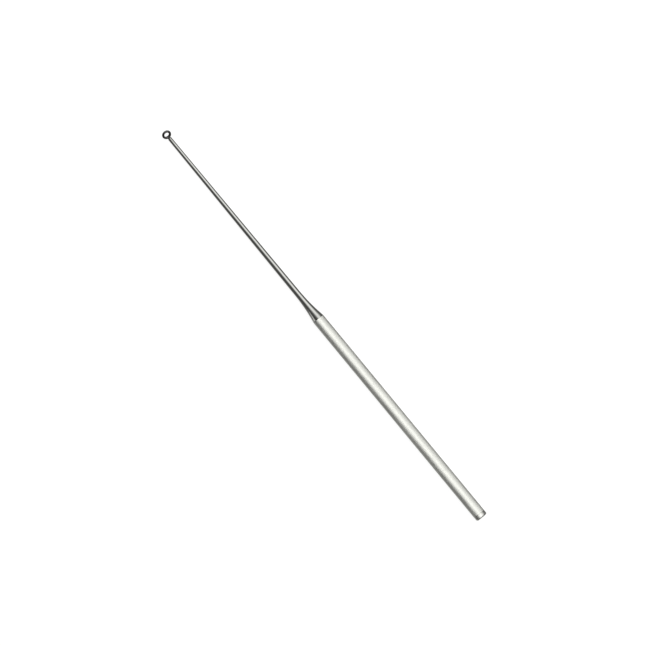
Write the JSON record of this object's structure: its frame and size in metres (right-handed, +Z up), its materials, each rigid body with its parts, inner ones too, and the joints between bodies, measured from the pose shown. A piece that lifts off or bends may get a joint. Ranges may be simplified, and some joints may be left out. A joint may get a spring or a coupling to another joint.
{
  "type": "inoculating loop",
  "caption": "Rigid metal inoculating loop: a small round wire eye, tilted up, on a slender tapered shaft that flares into a plain cylindrical handle.",
  "frame": {"origin": "on the bench the tool lies on, below the middle of its length", "axes": "+X along the tool from the handle's rear end to the wire eye, +Z up from the bench, on the side to which the eye tilts"},
  "size_m": [0.1952, 0.005, 0.005],
  "materials": {
    "satin_steel": "satin",
    "turned_steel": "gloss",
    "polished_steel": "polished",
    "loop_wire": "gloss",
    "silver_solder": "gloss"
  },
  "bodies": {
    "root": {"handle_tube": "satin_steel", "end_plug": "turned_steel", "shaft": "polished_steel", "loop": "loop_wire", "loop_solder": "silver_solder"}
  },
  "joints": []
}
